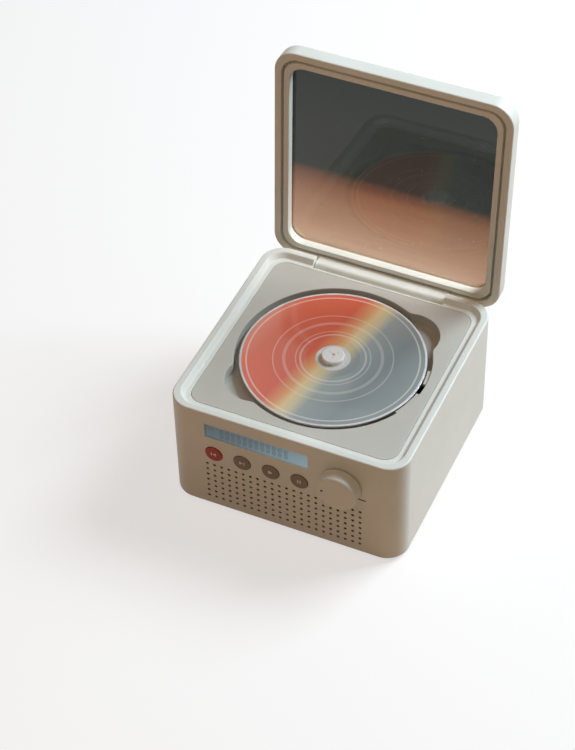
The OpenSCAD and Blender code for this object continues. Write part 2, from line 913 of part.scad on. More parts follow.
module volume_encoder()
    color(dark_colour)
        difference() {
            union() {
                box(
                    [knob_x - encoder_side / 2, front_in_y, knob_z - encoder_side / 2],
                    [knob_x + encoder_side / 2, panel_y, knob_z + encoder_side / 2]
                );
                y_rod(knob_x, front_y - nut_t - 0.5, knob_z, bush_r, wall + nut_t + 1.5);
            }
            y_rod(knob_x, front_y - nut_t - cut, knob_z, shaft_r + run_fit, wall + nut_t + cut + 3.4);
        }

module encoder_nut()
    color(steel_colour)
        difference() {
            translate([knob_x, front_y - nut_t, knob_z])
                rotate([-90, 0, 0])
                    cylinder(nut_t, nut_r, nut_r, $fn = 6);
            y_rod(knob_x, front_y - nut_t - cut, knob_z, bush_r, nut_t + 2 * cut);
        }

module encoder_shaft()
    color(steel_colour)
        y_rod(knob_x, front_y - knob_out + knob_wall, knob_z, shaft_r, knob_out - knob_wall + wall + 3);

module volume_knob() {
    inner_y = front_y - knob_out + knob_wall;
    back_y = front_y - knob_gap;
    color(case_colour)
        difference() {
            union() {
                difference() {
                    y_rod(knob_x, front_y - knob_out, knob_z, knob_d / 2, knob_out - knob_gap);
                    y_rod(knob_x, inner_y, knob_z, knob_d / 2 - knob_wall, knob_out);
                }
                y_rod(knob_x, inner_y - knob_wall / 2, knob_z, 5.2, knob_wall / 2 + knob_out - knob_wall - nut_t - 1);
            }
            y_rod(knob_x, inner_y, knob_z, shaft_r, knob_out);
            translate([knob_x, front_y, knob_z])
                rotate([90, 0, 0])
                    rotate_extrude()
                        fillet_cut(knob_d / 2, knob_out, knob_fillet, 1);
        }
}

// Loudspeakers

module grille_cloth()
    color("#4a4743")
        difference() {
            box(
                [-grille_w / 2 - 3, front_in_y, grille_z - 3],
                [grille_w / 2 + 3, front_in_y + cloth_t, grille_z + (grille_rows - 1) * grille_pitch + 3]
            );
            for (side = [-1, 1], sx = [-1, 1], sz = [-1, 1])
                y_rod(
                    side * speaker_x + sx * speaker_screw_at, front_in_y - cut,
                    speaker_z + sz * speaker_screw_at, speaker_boss_r + 0.1, cloth_t + 2 * cut
                );
        }

module speaker_gaskets()
    color(dark_colour)
        for (side = [-1, 1])
            difference() {
                y_rod(side * speaker_x, front_in_y + cloth_t, speaker_z, cone_r + 2.4, gasket_t);
                y_rod(side * speaker_x, front_in_y, speaker_z, cone_r + 0.8, gasket_t + 2);
            }

// One loudspeaker without its cone, with its flange at y = 0 and its magnet towards +Y
module speaker_frame() {
    back = flange_t + basket_depth;
    difference() {
        union() {
            translate([-speaker_side / 2, 0, -speaker_side / 2])
                cube([speaker_side, flange_t, speaker_side]);
            translate([0, flange_t, 0])
                rotate([-90, 0, 0])
                    cylinder(basket_depth, cone_r + 1.6, 10.4);
            y_rod(0, back, 0, 11, magnet_t);
        }
        y_rod(0, -cut, 0, cone_r + 0.5, flange_t + cut);
        translate([0, flange_t - 0.01, 0])
            rotate([-90, 0, 0])
                cylinder(basket_depth - 1.2, cone_r + 0.5, 9.2);
        difference() {
            y_rod(0, back - 2, 0, coil_r + 0.9, magnet_t);
            y_rod(0, back - 2.5, 0, coil_r - 1, magnet_t + 1);
        }
        for (sx = [-1, 1], sz = [-1, 1])
            y_rod(sx * speaker_screw_at, -cut, sz * speaker_screw_at, small_screw_r, flange_t + 2 * cut);
    }
}

module speaker_at(side)
    translate([side * speaker_x, flange_y, speaker_z])
        children();

module speaker_left() color(dark_colour) speaker_at(-1) speaker_frame();
module speaker_right() color(dark_colour) speaker_at(1) speaker_frame();

// The cone with its voice coil, in the frame of speaker_frame
module speaker_cone() {
    depth = basket_depth - 3.2;
    difference() {
        union() {
            translate([0, 1, 0])
                rotate([-90, 0, 0])
                    cylinder(depth, cone_r - 1, coil_r + 0.4);
            y_rod(0, depth, 0, coil_r + 0.3, 5.5);
        }
        translate([0, 0.99, 0])
            rotate([-90, 0, 0])
                cylinder(depth - 1.2, cone_r - 1.8, coil_r);
        y_rod(0, depth + 2, 0, coil_r - 0.4, 5.5);
    }
    difference() {
        y_rod(0, 1, 0, cone_r, 0.6);
        y_rod(0, 0, 0, cone_r - 1.6, 3);
    }
}

module speaker_cone_left() color("#2b2b2b") speaker_at(-1) speaker_cone();
module speaker_cone_right() color("#2b2b2b") speaker_at(1) speaker_cone();

module speaker_screws()
    color(steel_colour)
        for (side = [-1, 1], sx = [-1, 1], sz = [-1, 1])
            translate([
                side * speaker_x + sx * speaker_screw_at, flange_y + flange_t + screw_head_h,
                speaker_z + sz * speaker_screw_at
            ])
                rotate([90, 0, 0])
                    screw_up(0, small_screw_r, flange_t + gasket_t - 0.2);

// Mechanism

module mechanism_chassis()
    color(steel_colour)
        difference() {
            union() {
                box(
                    [chassis_left_x, -chassis_half_d, chassis_z],
                    [chassis_right_x, chassis_half_d, chassis_top_z]
                );
                for (side = [-1, 1], x = [rod_start_x, rod_end_x - cheek_w])
                    box(
                        [x, side * rod_y - 3, chassis_top_z - chassis_t / 2],
                        [x + cheek_w, side * rod_y + 3, rod_z + 3]
                    );
            }
            four_corners(post_x, post_y)
                z_rod(0, 0, chassis_z - cut, bush_waist_r, chassis_t + 2 * cut);
            for (side = [-1, 1])
                x_rod(rod_start_x - cut, side * rod_y, rod_z, rod_d / 2, rod_end_x - rod_start_x + 2 * cut);
            z_rod(gear_x, gear_y, chassis_z - cut, axle_r, chassis_t + 2 * cut);
            z_rod(motor_x, gear_y, chassis_z - cut, 2, chassis_t + 2 * cut);
            box([chassis_left_x + 8, -16, chassis_z - cut], [-motor_r - 4, 16, chassis_top_z + cut]);
        }

module damper_bushes()
    color(dark_colour)
        four_corners(post_x, post_y)
            difference() {
                union() {
                    z_rod(0, 0, chassis_z - bush_flange_t, bush_outer_r, bush_flange_t);
                    z_rod(0, 0, chassis_z - bush_flange_t, bush_waist_r, chassis_t + 2 * bush_flange_t);
                    z_rod(0, 0, chassis_top_z, bush_outer_r, bush_flange_t);
                }
                z_rod(0, 0, chassis_z - bush_flange_t - cut, small_screw_r, chassis_t + 2 * bush_flange_t + 2 * cut);
            }

module chassis_screws()
    color(steel_colour)
        four_corners(post_x, post_y)
            screw_up(
                chassis_z - bush_flange_t - screw_head_h, small_screw_r,
                chassis_t + 2 * bush_flange_t + 6
            );

module guide_rods()
    color(steel_colour)
        for (side = [-1, 1])
            x_rod(rod_start_x, side * rod_y, rod_z, rod_d / 2, rod_end_x - rod_start_x);

module pickup_sled()
    color(dark_colour)
        difference() {
            union() {
                box(
                    [lens_start - sled_half, -rod_y + sled_eye, sled_low_z],
                    [lens_start + sled_half, rod_y - sled_eye, sled_top_z]
                );
                for (side = [-1, 1])
                    box(
                        [lens_start - sled_half, side * rod_y - sled_eye, eye_low_z],
                        [lens_start + sled_half, side * rod_y + sled_eye, rod_z + 3]
                    );
                z_rod(lens_start, 0, sled_top_z, pedestal_r, pedestal_h);
            }
            for (side = [-1, 1])
                x_rod(
                    lens_start - sled_half - cut, side * rod_y, rod_z,
                    rod_d / 2 + run_fit, 2 * sled_half + 2 * cut
                );
            z_rod(lens_start, 0, sled_top_z + 1, pedestal_r - 0.8, pedestal_h);
        }

module sled_rack()
    color("#e8e4d8") {
        start = gear_x - sled_travel - 1.5;
        end = gear_x + 1.5;
        difference() {
            box([start, rack_y, rack_z], [end, rack_y + rack_w, rack_z + rack_h]);
            for (x = [start + 1 : 1.6 : end - 0.6])
                box([x, rack_y - cut, rack_z - cut], [x + 0.7, rack_y + 0.7, rack_z + rack_h + cut]);
        }
    }

module lens_holder()
    color(dark_colour)
        difference() {
            z_rod(lens_start, 0, holder_z, pedestal_r - 1.2, holder_h);
            z_rod(lens_start, 0, holder_z - cut, lens_r - 0.6, holder_h + 2 * cut);
            z_rod(lens_start, 0, holder_z + holder_h - 0.8, lens_r, 2);
        }

module pickup_lens()
    color("lightblue")
        z_rod(lens_start, 0, holder_z + holder_h - 0.8, lens_r, 1.2);

module sled_motor()
    color(steel_colour)
        difference() {
            z_rod(motor_x, gear_y, chassis_z - 14, 6, 14);
            z_rod(motor_x, gear_y, chassis_z - 10, 0.75 + run_fit, 11);
        }

// A gear whose tips reach r
module toothed_disc(r, teeth, depth, h)
    linear_extrude(h)
        difference() {
            circle(r);
            for (i = [0:teeth - 1])
                rotate(360 * i / teeth)
                    translate([r - depth, -0.4 * PI * r / teeth])
                        square([2 * depth, 0.8 * PI * r / teeth]);
        }

module motor_pinion()
    color("#e8e4d8") {
        translate([motor_x, gear_y, gear_low_z])
            toothed_disc(motor_pinion_r, 9, 0.5, gear_t);
        z_rod(motor_x, gear_y, chassis_z - 9, 0.75, gear_low_z + gear_t - chassis_z + 9);
    }

module drive_gear()
    color("#e8e4d8")
        translate([gear_x, gear_y, gear_low_z])
            difference() {
                union() {
                    toothed_disc(gear_r, 36, 0.5, gear_t);
                    translate([0, 0, gear_t])
                        toothed_disc(pinion_r, 20, 0.5, rack_z + rack_h - gear_low_z - gear_t);
                }
                z_rod(0, 0, -cut, axle_r + run_fit, 3 * cut + rack_z + rack_h - gear_low_z);
            }

module gear_axle()
    color(steel_colour) {
        z_rod(gear_x, gear_y, chassis_z, axle_r, rack_z + rack_h + 0.6 - chassis_z);
        z_rod(gear_x, gear_y, rack_z + rack_h + 0.4, 2.4, 0.8);
    }

// Boards, battery and sockets

module main_board()
    color(board_colour)
        difference() {
            union() {
                box(
                    [-main_board_w / 2, main_board_front_y, main_board_z],
                    [main_board_w / 2, main_board_rear_y, main_board_top_z]
                );
                translate([0, (main_board_front_y + main_board_rear_y) / 2, main_board_top_z]) {
                    for (at = board_chips)
                        translate([at[0] * main_board_w, at[1] * (main_board_rear_y - main_board_front_y), 0])
                            box([-at[2] / 2, -at[2] / 2, 0], [at[2] / 2, at[2] / 2, chip_h]);
                    for (side = [-1, 1])
                        z_rod(capacitor_x, side * 1.5 * capacitor_r, 0, capacitor_r, capacitor_h);
                }
            }
            main_board_posts(small_screw_r, main_board_z - cut, board_t + 2 * cut);
        }

module board_screws()
    color(steel_colour)
        for (sx = [-1, 1], y = [main_board_front_y + main_board_screw_in, main_board_rear_y - main_board_screw_in])
            translate([sx * (main_board_w / 2 - main_board_screw_in), y, main_board_top_z + screw_head_h])
                rotate([180, 0, 0])
                    screw_up(0, small_screw_r, board_t + 5);

module battery_pack()
    color("#4f6f8f")
        translate([-battery_w / 2, battery_y - battery_d / 2, cover_top_z])
            cube([battery_w, battery_d, battery_h]);

// A flat cable from the control board, between the loudspeakers and over the battery, to the main board
module ribbon_cable() {
    top_z = panel_low_z + 3.5;
    start_y = panel_y + board_t;
    over_z = cover_top_z + battery_h + 1;
    end_y = main_board_front_y + 6;
    color("#d8d4c8")
        translate([-ribbon_w / 2, 0, 0])
            rotate([90, 0, 90])
                linear_extrude(ribbon_w)
                    polygon([
                        [start_y, top_z],
                        [start_y + 3, top_z],
                        [start_y + 3, over_z + ribbon_t],
                        [end_y + ribbon_t, over_z + ribbon_t],
                        [end_y + ribbon_t, main_board_top_z],
                        [end_y, main_board_top_z],
                        [end_y, over_z],
                        [start_y + 3 - ribbon_t, over_z],
                        [start_y + 3 - ribbon_t, top_z - ribbon_t],
                        [start_y, top_z - ribbon_t]
                    ]);
}

module power_inlet()
    color(steel_colour)
        difference() {
            box(
                [inlet_x - inlet_w / 2, rear_y - 10, main_board_top_z],
                [inlet_x + inlet_w / 2, rear_y - 0.8, main_board_top_z + inlet_h]
            );
            box(
                [inlet_x - inlet_mouth_w / 2, rear_y - 6.5, main_board_top_z + (inlet_h - inlet_mouth_h) / 2],
                [inlet_x + inlet_mouth_w / 2, rear_y, main_board_top_z + (inlet_h + inlet_mouth_h) / 2]
            );
        }

module audio_socket()
    color(dark_colour)
        difference() {
            union() {
                box([jack_x - 4, rear_y - 15, main_board_top_z], [jack_x + 4, rear_in_y - 0.3, jack_z + 3]);
                y_rod(jack_x, rear_in_y - 1, jack_z, jack_collar_r, wall + 0.6);
            }
            y_rod(jack_x, rear_y - 14, jack_z, jack_d / 2, 16);
        }

module switch_housing()
    color(dark_colour)
        difference() {
            box(
                [switch_x - slider_w / 2 - 2, rear_in_y - 5.5, main_board_top_z],
                [switch_x + slider_w / 2 + switch_travel + 2, rear_in_y - 0.3, main_board_top_z + 5]
            );
            box(
                [switch_x - slider_w / 2 - 0.3, rear_in_y - 2.5, main_board_top_z + 0.7],
                [switch_x + slider_w / 2 + switch_travel + 0.3, rear_y, main_board_top_z + 1.3 + slider_h]
            );
        }

module power_slider()
    color(dark_colour)
        box(
            [switch_x - slider_w / 2, rear_in_y - 2.2, main_board_top_z + 1],
            [switch_x + slider_w / 2, rear_y + 0.8, main_board_top_z + 1 + slider_h]
        );

module placed()
    translate([0, -middle_y, 0])
        children();

placed() main_case();
placed() top_deck();
placed() bottom_cover();
placed() rubber_feet();
placed() cover_screws();
placed() deck_screws();
placed() lid_frame();
placed() window_bezel();
placed() lid_window();
placed() lid_magnet();
placed() lid_sensor();
placed() hinge_pins();
placed() compact_disc();
placed() turntable_hub();
placed() hub_cap();
placed() hub_balls();
placed() spindle_shaft();
placed() spindle_motor();
placed() display_window();
placed() display_module();
placed() button_previous();
placed() button_next();
placed() button_play();
placed() button_pause();
placed() volume_knob();
placed() encoder_shaft();
placed() volume_encoder();
placed() encoder_nut();
placed() control_board();
placed() control_screws();
placed() tact_switches();
placed() grille_cloth();
placed() speaker_gaskets();
placed() speaker_left();
placed() speaker_right();
placed() speaker_cone_left();
placed() speaker_cone_right();
placed() speaker_screws();
placed() mechanism_chassis();
placed() damper_bushes();
placed() chassis_screws();
placed() guide_rods();
placed() pickup_sled();
placed() sled_rack();
placed() lens_holder();
placed() pickup_lens();
placed() sled_motor();
placed() motor_pinion();
placed() drive_gear();
placed() gear_axle();
placed() main_board();
placed() board_screws();
placed() battery_pack();
placed() ribbon_cable();
placed() power_inlet();
placed() audio_socket();
placed() switch_housing();
placed() power_slider();
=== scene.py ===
"""Desktop disc player with its windowed lid open: finishes, eased edges, print, light and camera."""
import json
import math

import bmesh
import bpy
from mathutils import Matrix, Vector

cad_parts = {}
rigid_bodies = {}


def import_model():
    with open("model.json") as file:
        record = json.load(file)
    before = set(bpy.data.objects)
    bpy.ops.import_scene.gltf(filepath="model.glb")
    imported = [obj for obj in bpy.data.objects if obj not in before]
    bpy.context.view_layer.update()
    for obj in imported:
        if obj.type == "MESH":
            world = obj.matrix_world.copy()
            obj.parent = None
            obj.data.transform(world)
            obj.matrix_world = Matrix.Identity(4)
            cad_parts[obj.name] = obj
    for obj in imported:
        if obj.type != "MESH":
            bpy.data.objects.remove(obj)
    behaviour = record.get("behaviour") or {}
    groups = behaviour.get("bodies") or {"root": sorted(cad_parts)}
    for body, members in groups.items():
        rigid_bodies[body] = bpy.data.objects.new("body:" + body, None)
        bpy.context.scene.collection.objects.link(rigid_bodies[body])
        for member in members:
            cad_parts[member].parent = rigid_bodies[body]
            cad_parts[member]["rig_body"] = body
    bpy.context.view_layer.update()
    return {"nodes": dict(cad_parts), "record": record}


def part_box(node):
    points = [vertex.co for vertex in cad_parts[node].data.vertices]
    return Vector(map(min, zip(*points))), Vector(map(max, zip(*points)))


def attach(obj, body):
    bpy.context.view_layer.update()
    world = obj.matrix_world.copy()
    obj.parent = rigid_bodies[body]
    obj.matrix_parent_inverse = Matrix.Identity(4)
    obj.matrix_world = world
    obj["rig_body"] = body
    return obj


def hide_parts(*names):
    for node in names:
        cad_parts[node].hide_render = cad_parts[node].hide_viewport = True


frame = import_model()
scene = bpy.context.scene
MM = 0.001


# Colours and nodes

def linear(code):
    """An sRGB hex colour as linear red, green, blue and alpha."""
    parts = [int(code[k:k + 2], 16) / 255 for k in (0, 2, 4)]
    return [c / 12.92 if c <= 0.04045 else ((c + 0.055) / 1.055) ** 2.4 for c in parts] + [1.0]


def add(tree, kind, settings=None, inputs=None):
    """Adds a node.

    settings are its own properties. inputs are values, or outputs to link from, by socket name or number.
    """
    made = tree.nodes.new(kind)
    for key, value in (settings or {}).items():
        setattr(made, key, value)
    for key, value in (inputs or {}).items():
        socket = made.inputs[key]
        if isinstance(value, bpy.types.NodeSocket):
            tree.links.new(value, socket)
        else:
            socket.default_value = value
    return made


def new_material(name):
    """An empty material with its shader and output, and the piece's own coordinates in metres."""
    material = bpy.data.materials.new(name)
    material.use_nodes = True
    tree = material.node_tree
    tree.nodes.clear()
    shader = add(tree, "ShaderNodeBsdfPrincipled")
    add(tree, "ShaderNodeOutputMaterial", inputs={"Surface": shader.outputs[0]})
    place = add(tree, "ShaderNodeTexCoord").outputs["Object"]
    return material, tree, shader, place


def set_values(shader, **values):
    """Sets the shader's own sockets, each named with underscores for spaces."""
    for key, value in values.items():
        shader.inputs[key.replace("_", " ")].default_value = value


def noise(tree, vector, scale, detail):
    """A soft noise over the vector, with scale lumps to the metre."""
    return add(tree, "ShaderNodeTexNoise", inputs={
        "Vector": vector, "Scale": scale, "Detail": detail}).outputs[0]


def worked_out(tree, operation, *values):
    """The result of a Math node on the values, which may be outputs of other nodes."""
    return add(tree, "ShaderNodeMath", {"operation": operation}, dict(enumerate(values))).outputs[0]


def map_range(tree, value, from_low=0.0, from_high=1.0, to_low=0.0, to_high=1.0):
    """The value, mapped from one pair of limits to the other and held within it."""
    return add(tree, "ShaderNodeMapRange", inputs={
        0: value, 1: from_low, 2: from_high, 3: to_low, 4: to_high}).outputs[0]


def ramp(tree, factor, stops):
    """A colour ramp over factor, through (position, hex) stops."""
    made = add(tree, "ShaderNodeValToRGB", inputs={0: factor})
    while len(made.color_ramp.elements) < len(stops):
        made.color_ramp.elements.new(0.5)
    for element, (position, code) in zip(made.color_ramp.elements, stops):
        element.position = position
        element.color = linear(code)
    return made.outputs[0]


def colour_by(tree, shader, factor, stops):
    """Colours the shader by a ramp over factor."""
    tree.links.new(ramp(tree, factor, stops), shader.inputs["Base Color"])


def rough_between(tree, shader, factor, least, most):
    """Varies the shader's roughness from least to most with factor."""
    tree.links.new(map_range(tree, factor, to_low=least, to_high=most), shader.inputs["Roughness"])


def relief(tree, shader, height, strength, depth_mm):
    """Bumps the shader's surface by height."""
    bump = add(tree, "ShaderNodeBump", inputs={
        "Strength": strength, "Distance": depth_mm * MM, "Height": height})
    tree.links.new(bump.outputs[0], shader.inputs["Normal"])


DRIFT_MM = 55


def moulded(name, dark, pale, roughness, grain_mm, depth_mm, **values):
    """A moulded plastic: a faint drift of colour over it, and the fine pitting of a spark-eroded mould."""
    material, tree, shader, place = new_material(name)
    colour_by(tree, shader, noise(tree, place, 1 / (DRIFT_MM * MM), 3.0), [(0.3, dark), (0.7, pale)])
    pits = noise(tree, place, 1 / (grain_mm * MM), 2.0)
    rough_between(tree, shader, pits, roughness - 0.05, roughness + 0.07)
    relief(tree, shader, pits, 0.35, depth_mm)
    set_values(shader, IOR=1.53, **values)
    return material


# ABS, injection moulded with a satin spark-eroded skin: soft wide highlights, faintly warm white.
# The real grain is about 0.1 mm; it is drawn at 0.9 mm, the finest that shows.
case_abs = moulded("case_abs_satin_moulded", "dbe0da", "e5eae4", 0.44, 0.9, 0.012)
# The same ABS in a darker grey, for the deck: a little rougher, so the disc stands out from it.
deck_abs = moulded("deck_abs_fine_texture", "babab2", "c5c5bd", 0.5, 0.9, 0.014)
# Polished white ABS, for the turntable: tighter highlights than the case.
hub_abs = moulded("hub_abs_polished", "e9e9e5", "f2f2ee", 0.24, 0.6, 0.003)
# The case's ABS inside the loudspeaker holes, where little light comes, with painted shade: dark brown and
# matt.
hole_abs = moulded("hole_abs_painted_shade", "78624c", "846d56", 0.8, 0.9, 0.01)
# ABS, black, moulded matt: the sockets, the switch and the loudspeaker frames.
black_abs = moulded("socket_abs_black", "1d1e1f", "28292a", 0.42, 0.8, 0.012)
# Red and taupe ABS for the push buttons, rubbed smooth by fingers.
red_abs = moulded("button_abs_red", "a32e12", "ae3818", 0.34, 0.7, 0.006, Specular_IOR_Level=0.25)
taupe_abs = moulded("button_abs_taupe", "7d6f5b", "887a65", 0.36, 0.7, 0.006, Specular_IOR_Level=0.25)
# Acetal, self-coloured and slippery, for the gears and the sled: a waxy, cloudy white.
gear_acetal = moulded("gear_acetal_moulded", "dad8cf", "e8e6de", 0.32, 0.7, 0.004, Subsurface_Weight=0.1)
# PVC shrink sleeve over the battery cells.
battery_sleeve = moulded("battery_pvc_sleeve", "3f6389", "4d739a", 0.3, 3.0, 0.05)
# Polyester flat cable, with the sheen of drawn film.
ribbon_film = moulded("ribbon_polyester_film", "d5d1c4", "e2dfd4", 0.3, 1.2, 0.01)
# Pulp paper of the loudspeaker cones: matt, fibrous, nearly black.
cone_pulp = moulded("cone_pulp_paper", "1f1e1c", "34322e", 0.85, 0.8, 0.06)


def foot_rubber_finish():
    """Moulded silicone rubber: dull, deep grey, dusty where it has been handled."""
    material, tree, shader, place = new_material("foot_silicone_rubber")
    dust = noise(tree, place, 1 / (1.6 * MM), 5.0)
    colour_by(tree, shader, dust, [(0.35, "232426"), (0.75, "3b3c3d")])
    relief(tree, shader, dust, 0.4, 0.03)
    set_values(shader, Roughness=0.82, IOR=1.41)
    return material


def steel_finish(name, dark, pale, roughness, across_mm):
    """Turned or rolled steel, plated: fine parallel lines along X break up the highlight."""
    material, tree, shader, place = new_material(name)
    along, across = 30.0, 1 / (across_mm * MM)
    drawn = add(tree, "ShaderNodeMapping", inputs={0: place, "Scale": (along, across, across)})
    lines = noise(tree, drawn.outputs[0], 1.0, 3.0)
    colour_by(tree, shader, lines, [(0.3, dark), (0.7, pale)])
    rough_between(tree, shader, lines, roughness - 0.08, roughness + 0.1)
    set_values(shader, Metallic=1.0)
    return material


foot_rubber = foot_rubber_finish()
rolled_steel = steel_finish("rolled_steel_nickel_plated", "a9abad", "c9cbcc", 0.3, 0.5)
screw_steel = steel_finish("screw_steel_zinc_plated", "9fa3a6", "bfc3c6", 0.36, 0.4)


def window_painted_reflection_finish(box):
    """Cast acrylic: a clear deep mirror, coloured with a painted reflection that also dims what stands behind
    it.

    The painted reflection stands in for dark surroundings and a warm brown floor: it runs from a green-grey
    at the free edge of the lid to a warm brown at the hinge. A fine scatter of dust breaks up the polish.
    Lamps shine through the pane, so it throws only a faint shade.
    """
    material, tree, shader, place = new_material("window_acrylic_painted_reflection")
    low, high = box
    sway = 9 * MM
    height = add(tree, "ShaderNodeSeparateXYZ", inputs={0: place}).outputs[2]
    drawn = add(tree, "ShaderNodeMapping", inputs={0: place, "Scale": (9.0, 9.0, 120.0)})
    streaks = noise(tree, drawn.outputs[0], 1.0, 3.0)
    level = worked_out(tree, "MULTIPLY_ADD", streaks, sway, height)
    share = map_range(tree, level, low.z + sway / 2, high.z + sway / 2)
    # Painted reflection, which also tints what shows through: warm brown low on the pane, dark green-grey
    # above.
    colour_by(tree, shader, share, [
        (0.0, "d6b59b"), (0.14, "c39b80"), (0.34, "9e7257"), (0.41, "785643"), (0.445, "3b3e38"),
        (1.0, "252b27")])
    specks = add(tree, "ShaderNodeTexVoronoi", inputs={"Vector": place, "Scale": 1 / (7 * MM)})
    dust = map_range(tree, specks.outputs["Distance"], 0.05, 0.12, 0.3, 0.03)
    tree.links.new(dust, shader.inputs["Roughness"])
    shadow_ray = add(tree, "ShaderNodeLightPath").outputs["Is Shadow Ray"]
    tree.links.new(map_range(tree, shadow_ray, to_low=1.0, to_high=0.08), shader.inputs["Alpha"])
    set_values(shader, IOR=1.49, Transmission_Weight=0.8, Specular_IOR_Level=0.38)
    return material


def lens_finish(name, tint, roughness):
    """Moulded clear acrylic, faintly tinted, with a polished face."""
    material, tree, shader, place = new_material(name)
    colour_by(tree, shader, noise(tree, place, 1 / (9 * MM), 2.0), [(0.3, tint), (0.7, "ffffff")])
    set_values(shader, IOR=1.49, Transmission_Weight=1.0, Roughness=roughness)
    return material


def display_painted_glow_finish(box):
    """Clear acrylic over a reflective liquid-crystal display, painted with a pale blue glow, brighter to the
    lower right.

    The window and the panel under it look like one cool, faintly graded sheet, so the colour is in the
    window's own depth.
    """
    material, tree, shader, place = new_material("display_acrylic_painted_glow")
    low, high = box
    parts = add(tree, "ShaderNodeSeparateXYZ", inputs={0: place}).outputs
    across = map_range(tree, parts[0], low.x, high.x)
    downward = map_range(tree, parts[2], low.z, high.z, 0.3, 0.0)
    share = worked_out(tree, "MULTIPLY_ADD", across, 0.7, downward)
    cloudy = worked_out(tree, "MULTIPLY_ADD", noise(tree, place, 1 / (14 * MM), 2.0), 0.16, share)
    # Painted glow and painted reflection: one pale blue ramp, brighter to the right and low down, is both
    # colour and emission.
    painted_glow = ramp(tree, cloudy, [(0.1, "2f404b"), (0.55, "567484"), (1.0, "84a8ba")])
    tree.links.new(painted_glow, shader.inputs["Base Color"])
    tree.links.new(painted_glow, shader.inputs["Emission Color"])
    set_values(shader, IOR=1.49, Roughness=0.08, Emission_Strength=0.5, Coat_Weight=0.5, Coat_Roughness=0.03)
    return material


window_acrylic = window_painted_reflection_finish(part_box("lid_window"))
pickup_glass = lens_finish("pickup_lens_coated_glass", "a9b8d8", 0.02)
display_acrylic = display_painted_glow_finish(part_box("display_window"))


def plain_ink(name, code, roughness):
    """Pad-printed ink: a thin matt film with a slightly uneven lay."""
    material, tree, shader, place = new_material(name)
    lift = 14
    paler = "".join("%02x" % min(255, int(code[k:k + 2], 16) + lift) for k in (0, 2, 4))
    lay = noise(tree, place, 1 / (0.8 * MM), 3.0)
    colour_by(tree, shader, lay, [(0.2, code), (1.0, paler)])
    rough_between(tree, shader, lay, roughness - 0.08, roughness + 0.08)
    set_values(shader, IOR=1.5)
    return material


segment_ink = plain_ink("segment_liquid_crystal", "4f6370", 0.4)
button_ink = plain_ink("button_ink_ivory", "e4dac9", 0.5)
mark_ink = plain_ink("mark_ink_umber", "3a2f25", 0.55)


def board_finish():
    """Glass-epoxy board with green solder mask: copper runs show as lighter lines under the lacquer."""
    material, tree, shader, place = new_material("board_glass_epoxy_green")
    runs = add(tree, "ShaderNodeTexVoronoi", {"distance": "MANHATTAN"}, {
        "Vector": place, "Scale": 1 / (4 * MM)}).outputs["Distance"]
    colour_by(tree, shader, runs, [(0.0, "2a6a45"), (0.42, "1f5436"), (0.5, "3a7c55")])
    relief(tree, shader, runs, 0.5, 0.04)
    set_values(shader, Roughness=0.32, IOR=1.55)
    return material


def cloth_finish():
    """Woven polyester behind the loudspeaker holes: dark brown, matt, 0.6 mm threads drawn at 1.2 mm."""
    material, tree, shader, place = new_material("grille_polyester_weave")
    waves = 2 / (math.tau * 1.2 * MM)
    warp, weft = [add(tree, "ShaderNodeTexWave", {"bands_direction": axis}, {
        "Vector": place, "Scale": waves}).outputs[1] for axis in "XZ"]
    woven = worked_out(tree, "MULTIPLY", warp, weft)
    colour_by(tree, shader, woven, [(0.0, "1f140c"), (0.8, "3d2c1f")])
    relief(tree, shader, woven, 0.7, 0.1)
    set_values(shader, Roughness=0.9, Specular_IOR_Level=0.2)
    return material


board_epoxy = board_finish()
grille_weave = cloth_finish()

# The disc's pale printed rings: radius and half width in mm, and strength. Each fades out over RING_FADE.
PALE_RINGS = (
    (21.0, 0.45, 0.32), (24.0, 0.25, 0.24), (31.5, 0.9, 0.2), (38.5, 0.25, 0.26), (55.4, 0.35, 0.42))
RING_FADE = 0.35
DISC_R = 60
GROOVE_STEP = 1.1


def disc_print_finish(centre):
    """Screen-printed lacquer on polycarbonate: soft fields of coral, sand and slate under a clear gloss.

    The fields lie across the disc on a slant, with thin pale rings over them, and the moulded grooves leave a
    trace of round brushing in the gloss.
    """
    material, tree, shader, place = new_material("disc_screen_printed_lacquer")
    level = add(tree, "ShaderNodeMapping", {"vector_type": "TEXTURE"}, {
        0: place, "Location": centre, "Rotation": (0.0, 0.0, math.radians(-14))}).outputs[0]
    parts = add(tree, "ShaderNodeSeparateXYZ", inputs={0: level}).outputs
    side = map_range(tree, parts[0], -DISC_R * MM, DISC_R * MM)
    share = worked_out(tree, "MULTIPLY_ADD", noise(tree, level, 1 / (38 * MM), 1.0), 0.05, side)
    fields = ramp(tree, share, [
        (0.02, "e48a70"), (0.16, "da6a50"), (0.40, "d4624a"), (0.475, "d99c6c"), (0.52, "dcc493"),
        (0.565, "c9c2a0"), (0.62, "95a0a0"), (0.78, "828e91"), (1.0, "8d9899")])
    flat = add(tree, "ShaderNodeCombineXYZ", inputs={0: parts[0], 1: parts[1]})
    radius = add(tree, "ShaderNodeVectorMath", {"operation": "LENGTH"}, {0: flat.outputs[0]}).outputs["Value"]
    rings = 0.0
    for at, half, strength in PALE_RINGS:
        off = worked_out(tree, "ABSOLUTE", worked_out(tree, "SUBTRACT", radius, at * MM))
        band = add(tree, "ShaderNodeMapRange", {"interpolation_type": "SMOOTHSTEP"}, {
            0: off, 1: half * MM, 2: (half + RING_FADE) * MM, 3: strength, 4: 0.0})
        rings = worked_out(tree, "MAXIMUM", rings, band.outputs[0])
    printed = add(tree, "ShaderNodeMix", {"data_type": "RGBA"}, {0: rings, 6: fields, 7: linear("f3efe6")})
    tree.links.new(printed.outputs[2], shader.inputs["Base Color"])
    grooves = worked_out(tree, "SINE", worked_out(tree, "MULTIPLY", radius, math.tau / (GROOVE_STEP * MM)))
    relief(tree, shader, grooves, 0.05, 0.02)
    set_values(shader, Roughness=0.3, IOR=1.5, Coat_Weight=0.6, Coat_Roughness=0.08)
    return material


